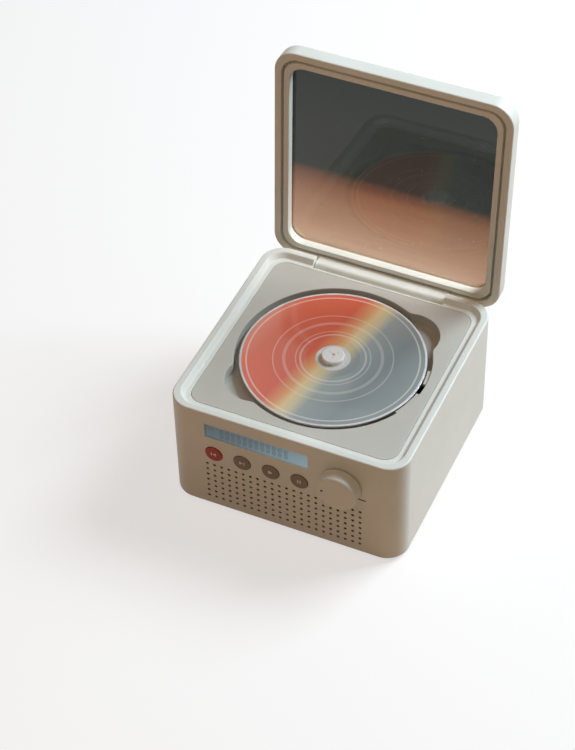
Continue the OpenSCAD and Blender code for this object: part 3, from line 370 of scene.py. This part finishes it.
def polycarbonate_finish():
    """Clear moulded polycarbonate, where the disc carries no print: milky and bright at its cut edges."""
    material, tree, shader, place = new_material("disc_polycarbonate_clear")
    colour_by(tree, shader, noise(tree, place, 1 / (6 * MM), 2.0), [(0.3, "e2e4e4"), (0.7, "f4f5f5")])
    set_values(shader, Roughness=0.08, IOR=1.58, Transmission_Weight=0.2)
    return material


def data_side_finish(centre):
    """The aluminised data side: a mirror with the rainbow sheen of its fine track, as faint round bands."""
    material, tree, shader, place = new_material("disc_aluminised_track")
    level = add(tree, "ShaderNodeMapping", {"vector_type": "TEXTURE"}, {0: place, "Location": centre})
    radius = add(tree, "ShaderNodeVectorMath", {"operation": "LENGTH"}, {0: level.outputs[0]})
    colour_by(tree, shader, map_range(tree, radius.outputs["Value"], 20 * MM, DISC_R * MM), [
        (0.0, "c9cdd2"), (0.25, "b9c6d8"), (0.45, "c4d6c9"), (0.65, "d9d3b4"), (0.85, "d6bfc8"),
        (1.0, "c8ccd4")])
    set_values(shader, Metallic=1.0, Roughness=0.16, Anisotropic=0.6)
    return material


disc_low, disc_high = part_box("compact_disc")
disc_centre = Vector(((disc_low.x + disc_high.x) / 2, (disc_low.y + disc_high.y) / 2, disc_low.z))
disc_print = disc_print_finish(disc_centre)
disc_clear = polycarbonate_finish()
disc_track = data_side_finish(disc_centre)

FINISH_OF_SLOT = {
    "case_plastic": case_abs, "deck_plastic": deck_abs, "window_acrylic": window_acrylic,
    "disc_print": disc_print, "hub_plastic": hub_abs, "steel": rolled_steel, "screw_steel": screw_steel,
    "black_plastic": black_abs, "rubber": foot_rubber, "button_red": red_abs, "button_grey": taupe_abs,
    "display_glass": display_acrylic, "display_panel": segment_ink, "circuit_board": board_epoxy,
    "cloth": grille_weave, "cone_paper": cone_pulp, "gear_plastic": gear_acetal,
    "battery_wrap": battery_sleeve, "ribbon_plastic": ribbon_film, "lens_glass": pickup_glass,
}
slot_of = {part["node"]: part["material_slot"] for part in frame["record"]["subparts"]}
for name, solid in frame["nodes"].items():
    for holder in solid.material_slots:
        holder.material = FINISH_OF_SLOT[slot_of[name]]


# Pieces

def place_piece(name, mesh, finishes, body, replaced=()):
    """Links a finished mesh as a piece of the body, and hides the nodes that it stands in for."""
    piece = bpy.data.objects.new(name, mesh)
    scene.collection.objects.link(piece)
    if not mesh.materials:
        for finish in finishes:
            mesh.materials.append(finish)
    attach(piece, body)
    if replaced:
        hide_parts(*replaced)
    return piece


def as_mesh(name, shape, smooth_below=35):
    """A bmesh as a mesh, smooth but for edges sharper than the angle."""
    bmesh.ops.remove_doubles(shape, verts=shape.verts, dist=1e-7)
    bmesh.ops.recalc_face_normals(shape, faces=shape.faces)
    for face in shape.faces:
        face.smooth = True
    for edge in shape.edges:
        edge.smooth = len(edge.link_faces) == 2 and edge.calc_face_angle(0) < math.radians(smooth_below)
    mesh = bpy.data.meshes.new(name)
    shape.to_mesh(mesh)
    shape.free()
    return mesh


def soften(name, node, radius_mm, finish, segments=2, sharper_than=30):
    """A copy of a CAD node with every edge eased to the small radius that a mould leaves."""
    source = frame["nodes"][node]
    shape = bmesh.new()
    shape.from_mesh(source.data)
    bmesh.ops.remove_doubles(shape, verts=shape.verts, dist=2e-6)
    bmesh.ops.dissolve_limit(shape, angle_limit=math.radians(0.4), verts=shape.verts, edges=shape.edges)
    for face in shape.faces:
        face.smooth = True
    mesh = bpy.data.meshes.new(name)
    shape.to_mesh(mesh)
    shape.free()
    blank = bpy.data.objects.new(name + "_blank", mesh)
    scene.collection.objects.link(blank)
    ease = blank.modifiers.new("ease", "BEVEL")
    ease.width = radius_mm * MM
    ease.segments = segments
    ease.limit_method = "ANGLE"
    ease.angle_limit = math.radians(sharper_than)
    ease.use_clamp_overlap = False
    ease.loop_slide = False
    even = blank.modifiers.new("even", "WEIGHTED_NORMAL")
    even.weight = 100
    even.keep_sharp = True
    eased = bpy.data.meshes.new_from_object(blank.evaluated_get(bpy.context.evaluated_depsgraph_get()))
    bpy.data.objects.remove(blank)
    return place_piece(name, eased, [finish], source["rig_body"], (node,))


case_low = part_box("main_case")[0]
case_shell = soften("case_shell", "main_case", 0.3, case_abs)
case_shell.data.materials.append(hole_abs)

# The loudspeaker holes lie in this region of the case, in mm: across, up, and behind the case's front.
HOLES_HALF_W = 57
HOLES_LOW, HOLES_HIGH = 7, 43
FRONT_EASE, WALL_DEPTH, END_DEPTH = 0.2, 2.6, 5
# A hole's wall faces sideways, and the end of a hole that a screw boss closes is smaller than this, in mm2.
MOST_FORWARD = 0.3
END_AREA = 3.5


def in_loudspeaker_hole(face):
    """True for the walls of the loudspeaker holes and for their closed ends, which take the painted shade."""
    x, y, z = face.center / MM
    depth = y - case_low.y / MM
    wall = depth < WALL_DEPTH and abs(face.normal.y) < MOST_FORWARD
    closed_end = depth < END_DEPTH and face.area < END_AREA * MM * MM
    in_region = abs(x) < HOLES_HALF_W and HOLES_LOW < z < HOLES_HIGH and FRONT_EASE < depth
    return in_region and (wall or closed_end)


# Painted shade: the holes' walls and closed ends take the second, dark finish.
for face in case_shell.data.polygons:
    if in_loudspeaker_hole(face):
        face.material_index = 1
soften("deck_plate", "top_deck", 0.35, deck_abs)
soften("lid_shell", "lid_frame", 0.35, case_abs)
soften("lid_inner_bezel", "window_bezel", 0.35, case_abs)
soften("lid_pane", "lid_window", 0.25, window_acrylic)
soften("base_cover", "bottom_cover", 0.25, case_abs)
soften("display_cover", "display_window", 0.12, display_acrylic)
soften("turntable_platform", "turntable_hub", 0.15, hub_abs)
soften("turntable_cap", "hub_cap", 0.12, hub_abs)
soften("knob_shell", "volume_knob", 0.25, case_abs)
soften("socket_audio", "audio_socket", 0.15, black_abs)
soften("socket_power", "power_inlet", 0.15, rolled_steel)
soften("switch_button", "power_slider", 0.2, black_abs)
for node, finish in (("button_previous", red_abs), ("button_next", taupe_abs),
                     ("button_play", taupe_abs), ("button_pause", taupe_abs)):
    soften(node + "_cap", node, 0.3, finish, 3)


def turned(rings, segments=64, closed=False, bands=None):
    """A shape turned about Z through rings of (radius, height) in mm. A radius may be a rule of the angle.

    bands gives the number of the finish of the band that follows each ring.
    """
    shape = bmesh.new()
    rows = []
    for radius, height in rings:
        if radius == 0:
            rows.append([shape.verts.new((0, 0, height * MM))])
            continue
        row = []
        for k in range(segments):
            angle = math.tau * k / segments
            reach = (radius(angle) if callable(radius) else radius) * MM
            row.append(shape.verts.new((reach * math.cos(angle), reach * math.sin(angle), height * MM)))
        rows.append(row)
    pairs = list(zip(rows, rows[1:])) + ([(rows[-1], rows[0])] if closed else [])
    for index, (lower, upper) in enumerate(pairs):
        for k in range(segments):
            corners = [lower[k % len(lower)], lower[(k + 1) % len(lower)],
                       upper[(k + 1) % len(upper)], upper[k % len(upper)]]
            corners = [c for i, c in enumerate(corners) if c not in corners[:i]]
            face = shape.faces.new(corners)
            face.material_index = bands[index] if bands else 0
    return shape


# The disc: a clear hub and rim, a low stacking ring, the printed field between them, and the data side below.
CLEAR, PRINTED, DATA = 0, 1, 2
disc_rings = [
    (7.62, 1.2), (11.2, 1.2), (11.3, 1.205), (16.8, 1.205), (17.0, 1.25), (17.4, 1.25), (17.6, 1.205),
    (40.0, 1.205), (58.5, 1.205), (58.6, 1.2), (59.75, 1.2), (59.93, 1.12), (60.0, 0.98), (60.0, 0.22),
    (59.93, 0.08), (59.75, 0.0), (58.8, 0.0), (22.0, 0.0), (17.6, 0.0), (17.4, -0.05), (17.0, -0.05),
    (16.8, 0.0), (7.62, 0.0), (7.52, 0.1), (7.5, 0.3), (7.5, 0.9), (7.52, 1.1)]
disc_bands = [CLEAR] * 2 + [PRINTED] * 7 + [CLEAR] * 7 + [DATA] + [CLEAR] * 10
disc_shape = turned(disc_rings, 160, closed=True, bands=disc_bands)
bmesh.ops.translate(disc_shape, verts=disc_shape.verts, vec=disc_centre)
place_piece("disc_printed", as_mesh("disc_printed", disc_shape), [disc_clear, disc_print, disc_track],
            "disc", ("compact_disc",))


# What repeats

def new_layout(name, *sockets):
    """An empty layout with the given input sockets, and their outputs inside it."""
    tree = bpy.data.node_groups.new(name, "GeometryNodeTree")
    for label, kind in (("Pattern", "Object"), ("Finish", "Material")) + sockets:
        tree.interface.new_socket(name=label, in_out="INPUT", socket_type="NodeSocket" + kind)
    tree.interface.new_socket(name="Geometry", in_out="OUTPUT", socket_type="NodeSocketGeometry")
    return tree, add(tree, "NodeGroupInput").outputs


def copies_on(tree, given, points, **turn):
    """Real copies of the layout's pattern on the points, turned as turn says."""
    pattern = add(tree, "GeometryNodeObjectInfo", inputs={"Object": given["Pattern"]})
    copies = add(tree, "GeometryNodeInstanceOnPoints", inputs={
        "Points": points, "Instance": pattern.outputs["Geometry"]} | turn)
    return add(tree, "GeometryNodeRealizeInstances", inputs={0: copies.outputs[0]}).outputs[0]


def give_out(tree, given, geometry):
    """Ends the layout with the geometry, in the layout's finish."""
    finished = add(tree, "GeometryNodeSetMaterial", inputs={
        "Geometry": geometry, "Material": given["Finish"]})
    add(tree, "NodeGroupOutput", inputs={0: finished.outputs[0]})


def row_layout():
    """Copies of a pattern piece set out in rows and columns."""
    tree, given = new_layout(
        "set_out_in_rows", ("Columns", "Int"), ("Rows", "Int"), ("Column step", "Vector"),
        ("Row step", "Vector"), ("Start", "Vector"))
    row = add(tree, "GeometryNodeMeshLine", {"mode": "OFFSET"}, {
        "Count": given["Columns"], "Offset": given["Column step"]})
    rows = add(tree, "GeometryNodeMeshLine", {"mode": "OFFSET"}, {
        "Count": given["Rows"], "Start Location": given["Start"], "Offset": given["Row step"]})
    field = add(tree, "GeometryNodeInstanceOnPoints", inputs={
        "Points": rows.outputs[0], "Instance": row.outputs[0]})
    points = add(tree, "GeometryNodeRealizeInstances", inputs={0: field.outputs[0]})
    give_out(tree, given, copies_on(tree, given, points.outputs[0]))
    return tree


def ring_layout():
    """Copies of a pattern piece spaced evenly round a circle, each turned to face out."""
    tree, given = new_layout(
        "set_out_in_ring", ("Count", "Int"), ("Radius", "Float"), ("Middle", "Vector"),
        ("First angle", "Float"))
    circle = add(tree, "GeometryNodeMeshCircle", inputs={
        "Vertices": given["Count"], "Radius": given["Radius"]})
    step = worked_out(tree, "DIVIDE", math.tau, given["Count"])
    turn = worked_out(tree, "MULTIPLY", add(tree, "GeometryNodeInputIndex").outputs[0], step)
    facing = add(tree, "ShaderNodeCombineXYZ", inputs={2: turn})
    copies = copies_on(tree, given, circle.outputs[0], Rotation=facing.outputs[0])
    start = add(tree, "ShaderNodeCombineXYZ", inputs={2: given["First angle"]})
    placed = add(tree, "GeometryNodeTransform", inputs={
        "Geometry": copies, "Translation": given["Middle"], "Rotation": start.outputs[0]})
    give_out(tree, given, placed.outputs[0])
    return tree


IN_ROWS = row_layout()
IN_RING = ring_layout()


def repeated(name, tree, pattern, finish, body, replaced=(), slot=None, **sizes):
    """One piece made of the layout's copies of a pattern. The sizes fill the layout's named inputs."""
    sample = bpy.data.objects.new(name + "_pattern", as_mesh(name + "_pattern", pattern))
    blank = bpy.data.objects.new(name + "_blank", bpy.data.meshes.new(name + "_blank"))
    scene.collection.objects.link(sample)
    scene.collection.objects.link(blank)
    layout = blank.modifiers.new("layout", "NODES")
    layout.node_group = tree
    values = {label.replace("_", " "): value for label, value in sizes.items()}
    values |= {"Pattern": sample, "Finish": finish}
    for item in tree.interface.items_tree:
        if item.in_out == "INPUT":
            layout[item.identifier] = values[item.name]
    mesh = bpy.data.meshes.new_from_object(blank.evaluated_get(bpy.context.evaluated_depsgraph_get()))
    bpy.data.objects.remove(blank)
    bpy.data.objects.remove(sample)
    return place_piece(name, mesh, [finish], body, replaced)


def in_corners(name, node, pattern, inset_mm, finish):
    """Four copies of a pattern, for a node of four solids, each inset from a corner of the node's box."""
    low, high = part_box(node)
    inset = inset_mm * MM
    repeated(name, IN_ROWS, pattern, finish, "case", (node,), slot_of[node], Columns=2, Rows=2,
             Column_step=(high.x - low.x - 2 * inset, 0, 0), Row_step=(0, high.y - low.y - 2 * inset, 0),
             Start=(low.x + inset, low.y + inset, low.z))


def cross(length, width):
    """The outline of a cross recess, as a radius at each angle."""
    def reach(angle):
        c, s = abs(math.cos(angle)) + 1e-6, abs(math.sin(angle)) + 1e-6
        return max(min(length / c, width / s), min(length / s, width / c))
    return reach


# Rubber feet: a rounded disc with two grooves in its sole.
foot_r = 8.0
foot_pattern = turned([
    (0, 2.4), (foot_r - 0.1, 2.4), (foot_r, 2.3), (foot_r, 0.6), (foot_r - 0.2, 0.2), (foot_r - 0.6, 0.0),
    (6.2, 0.0), (6.0, 0.5), (5.2, 0.5), (5.0, 0.0), (3.4, 0.0), (3.2, 0.5), (2.4, 0.5), (2.2, 0.0),
    (0, 0.0)], 48)
in_corners("feet_rubber", "rubber_feet", foot_pattern, foot_r, foot_rubber)

# Screws of the base: a pan head with a cross recess, a shank with a raised thread, and a blunt point.
head_r, shank_r = 2.5, 1.25
screw_head = [
    (0, 1.0), (cross(0.7, 0.2), 0.9), (cross(1.5, 0.36), 0.02), (1.9, 0.0), (2.3, 0.12), (head_r, 0.5),
    (head_r, 1.4), (shank_r, 1.4)]
screw_thread = [(shank_r - 0.22 * (k % 2), 1.8 + 0.45 * k) for k in range(24)]
screw_point = [(0.7, 13.1), (0, 13.4)]
screw_pattern = turned(screw_head + screw_thread + screw_point, 32)
in_corners("base_screws", "cover_screws", screw_pattern, head_r, screw_steel)

# The three balls that grip the disc's hole.
ball_low, ball_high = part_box("hub_balls")
ball_r, ball_ring_r, first_ball = 1.0, 6.44, math.radians(40)
ball_pattern = bmesh.new()
bmesh.ops.create_icosphere(ball_pattern, subdivisions=3, radius=ball_r * MM)
repeated("grip_balls", IN_RING, ball_pattern, rolled_steel, "turntable", ("hub_balls",), "steel",
         Count=3, Radius=ball_ring_r * MM, First_angle=first_ball,
         Middle=(disc_centre.x, disc_centre.y, (ball_low.z + ball_high.z) / 2))


def plate(outlines, thickness, bevel=0.0):
    """A plate facing -Y, from outlines of (x, z) points in mm, with its back at y = 0."""
    shape = bmesh.new()
    for outline in outlines:
        back = shape.faces.new([shape.verts.new((x * MM, 0, z * MM)) for x, z in outline])
        front = bmesh.ops.extrude_face_region(shape, geom=[back])
        raised = [item for item in front["geom"] if isinstance(item, bmesh.types.BMVert)]
        bmesh.ops.translate(shape, verts=raised, vec=(0, -thickness * MM, 0))
        if bevel:
            for vert in raised:
                centre = sum((v.co for v in raised), Vector()) / len(raised)
                vert.co += (centre - vert.co).normalized() * bevel * MM
    return shape


def bar(x, z, w, h, ease=0.0):
    """The outline of an upright bar with its middle at x, z, with its corners cut by ease."""
    left, right, low, high = x - w / 2, x + w / 2, z - h / 2, z + h / 2
    return [(left + ease, low), (right - ease, low), (right, low + ease), (right, high - ease),
            (right - ease, high), (left + ease, high), (left, high - ease), (left, low + ease)]


def arrow(x, z, size, way):
    """The outline of a play triangle that points along X for way 1, and back for way -1."""
    reach = way * size * 0.45
    points = [(x - reach, z - size / 2), (x + reach, z), (x - reach, z + size / 2)]
    return points if way > 0 else points[::-1]


SYMBOLS = {
    "button_previous": [bar(-1.5, 0, 0.65, 2.9, 0.1), arrow(0.45, 0, 2.9, -1)],
    "button_next": [arrow(-0.45, 0, 2.9, 1), bar(1.5, 0, 0.65, 2.9, 0.1)],
    "button_play": [arrow(0.1, 0, 3.3, 1)],
    "button_pause": [bar(-0.85, 0, 0.8, 3.0, 0.1), bar(0.85, 0, 0.8, 3.0, 0.1)],
}
SYMBOL_MM, INK_MM = 0.05, 0.03
for node, outlines in SYMBOLS.items():
    low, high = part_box(node)
    symbol = plate(outlines, SYMBOL_MM)
    bmesh.ops.translate(symbol, verts=symbol.verts, vec=(
        (low.x + high.x) / 2, low.y, (low.z + high.z) / 2))
    place_piece(node + "_symbol", as_mesh(node + "_symbol", symbol), [button_ink],
                frame["nodes"][node]["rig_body"], ())

knob_low, knob_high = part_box("volume_knob")
knob_x, knob_z = (knob_low.x + knob_high.x) / 2, (knob_low.z + knob_high.z) / 2


def mark(name, outline, front_y, body):
    """A printed mark of the volume knob, with its outline measured from the knob's axis."""
    print_shape = plate([outline], INK_MM)
    bmesh.ops.translate(print_shape, verts=print_shape.verts, vec=(knob_x, front_y, knob_z))
    place_piece(name, as_mesh(name, print_shape), [mark_ink], body, ())


# The dot on the knob, and the dash on the case that it points to when it is turned.
dot_out, dot_r, dot_sides = 9.2, 0.85, 24
dot = [(-dot_out + dot_r * math.cos(math.tau * k / dot_sides), dot_r * math.sin(math.tau * k / dot_sides))
       for k in range(dot_sides)]
mark("volume_dot", dot, knob_low.y, frame["nodes"]["volume_knob"]["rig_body"])
mark("volume_dash", bar(13.6, -8.9, 5.4, 1.1, 0.25), case_low.y, "case")

# The display's unlit segments: two rows of figures of seven bars each.
display_low, display_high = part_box("display_window")


def figure(height, width, bar_w):
    """Seven bars of a display figure, leaning a little."""
    half = height / 4
    lean = 0.1
    places = [(0, height / 2, 1), (0, 0, 1), (0, -height / 2, 1),
              (-width / 2, half, 0), (width / 2, half, 0), (-width / 2, -half, 0), (width / 2, -half, 0)]
    outlines = []
    for x, z, flat in places:
        w, h = (width - bar_w * 1.3, bar_w) if flat else (bar_w, height / 2 - bar_w * 0.5)
        outlines.append([(px + lean * pz, pz) for px, pz in bar(x, z, w, h, bar_w * 0.45)])
    return outlines


figure_step, line_step = 4.0 * MM, 4.4 * MM
first_figure = (
    display_low.x + 13.0 * MM, display_low.y, (display_low.z + display_high.z) / 2 + 2.3 * MM)
repeated("display_figures", IN_ROWS, plate(figure(3.2, 1.8, 0.36), INK_MM), segment_ink, "case", (),
         "display_panel", Columns=12, Rows=2, Start=first_figure,
         Column_step=(figure_step, 0, 0), Row_step=(0, 0, -line_step))

# Ribs on the power switch's slider.
slide_low, slide_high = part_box("power_slider")
rib_step = 1.0 * MM
first_rib = (
    (slide_low.x + slide_high.x) / 2 - 1.5 * rib_step, slide_high.y, (slide_low.z + slide_high.z) / 2)
repeated("switch_ribs", IN_ROWS, plate([bar(0, 0, 0.35, 2.2, 0.1)], -0.25, 0.06), black_abs, "switch", (),
         "black_plastic", Columns=4, Rows=1, Start=first_rib,
         Column_step=(rib_step, 0, 0), Row_step=(0, 0, 0))


# Floor, light and camera

def background_rays(tree):
    """1 for the rays that meet the pale background: the camera's, and those of gloss and clear pieces."""
    rays = add(tree, "ShaderNodeLightPath").outputs
    inner = worked_out(tree, "MAXIMUM", rays["Is Glossy Ray"], rays["Is Transmission Ray"])
    return worked_out(tree, "MAXIMUM", rays["Is Camera Ray"], inner)


def floor_finish():
    """Pale studio floor: nearly white to those rays, it keeps the shadow and throws back a warm light."""
    material, tree, shader, place = new_material("floor_studio_card")
    colour_by(tree, shader, noise(tree, place, 60.0, 3.0), [(0.3, "b88e64"), (0.7, "bd946b")])
    set_values(shader, Roughness=0.9)
    white = add(tree, "ShaderNodeBsdfDiffuse", inputs={"Color": linear("acacac")})
    glow = add(tree, "ShaderNodeEmission", inputs={"Color": linear("ffffff"), "Strength": 0.62})
    pale = add(tree, "ShaderNodeAddShader", inputs={0: white.outputs[0], 1: glow.outputs[0]})
    both = add(tree, "ShaderNodeMixShader", inputs={
        0: background_rays(tree), 1: shader.outputs[0], 2: pale.outputs[0]})
    out = next(n for n in tree.nodes if n.type == "OUTPUT_MATERIAL")
    tree.links.new(both.outputs[0], out.inputs["Surface"])
    return material


floor_shape = bmesh.new()
bmesh.ops.create_grid(floor_shape, x_segments=8, y_segments=8, size=3.0)
floor = bpy.data.objects.new("floor", as_mesh("floor", floor_shape))
floor.data.materials.append(floor_finish())
scene.collection.objects.link(floor)

world = bpy.data.worlds.new("studio")
scene.world = world
world.use_nodes = True
sky = world.node_tree
sky.nodes.clear()
room = add(sky, "ShaderNodeBackground", inputs={"Color": linear("f2e0cc"), "Strength": 0.13})
backdrop = add(sky, "ShaderNodeBackground", inputs={"Color": linear("ffffff"), "Strength": 1.0})
mixed = add(sky, "ShaderNodeMixShader", inputs={
    0: background_rays(sky), 1: room.outputs[0], 2: backdrop.outputs[0]})
add(sky, "ShaderNodeOutputWorld", inputs={0: mixed.outputs[0]})


def softbox(name, place, target, size, watts, code):
    """A square soft lamp at place, turned to target."""
    lamp = bpy.data.lights.new(name, "AREA")
    lamp.size = size
    lamp.energy = watts
    lamp.color = linear(code)[:3]
    holder = bpy.data.objects.new(name, lamp)
    scene.collection.objects.link(holder)
    holder.location = place
    holder.rotation_euler = (Vector(target) - Vector(place)).to_track_quat("-Z", "Y").to_euler()


softbox("window_light", (0.80, 0.93, 1.24), (0, 0, 0.08), 0.8, 34.0, "e8f5ff")
softbox("warm_fill", (-0.25, -0.85, 1.45), (0, 0, 0.08), 1.0, 3.8, "ffbc78")

# The camera, from the fitted view of the photograph: its angles in degrees, its distance from the middle of
# the body in metres, how far off that line it stands, and the focal length in pixels of the 750 pixel frame.
VIEW_TURN, VIEW_TILT, VIEW_ROLL = 25.42, 45.34, -1.65
VIEW_DISTANCE, BODY_MIDDLE_Z = 1.4274, 0.045
OFF_LEFT, OFF_UP = 0.02976, 0.01467
FOCAL_PX, FRAME_PX, SENSOR_MM = 2201.5, 750, 36

turn, tilt, roll = (math.radians(v) for v in (VIEW_TURN, VIEW_TILT, VIEW_ROLL))
back = Vector((math.sin(turn) * math.cos(tilt), -math.cos(turn) * math.cos(tilt), math.sin(tilt)))
level = back.cross(Vector((0, 0, 1))).normalized() * -1
upright = back.cross(level)
right = math.cos(roll) * level + math.sin(roll) * upright
up = -math.sin(roll) * level + math.cos(roll) * upright
eye = Vector((0, disc_centre.y, BODY_MIDDLE_Z)) + back * VIEW_DISTANCE - right * OFF_LEFT + up * OFF_UP
camera = bpy.data.objects.new("camera", bpy.data.cameras.new("camera"))
camera.matrix_world = Matrix.Translation(eye) @ Matrix((right, up, back)).transposed().to_4x4()
camera.data.sensor_width = SENSOR_MM
camera.data.lens = FOCAL_PX * SENSOR_MM / FRAME_PX
camera.data.clip_start = 0.01
scene.collection.objects.link(camera)
scene.camera = camera
scene.view_settings.view_transform = "Standard"
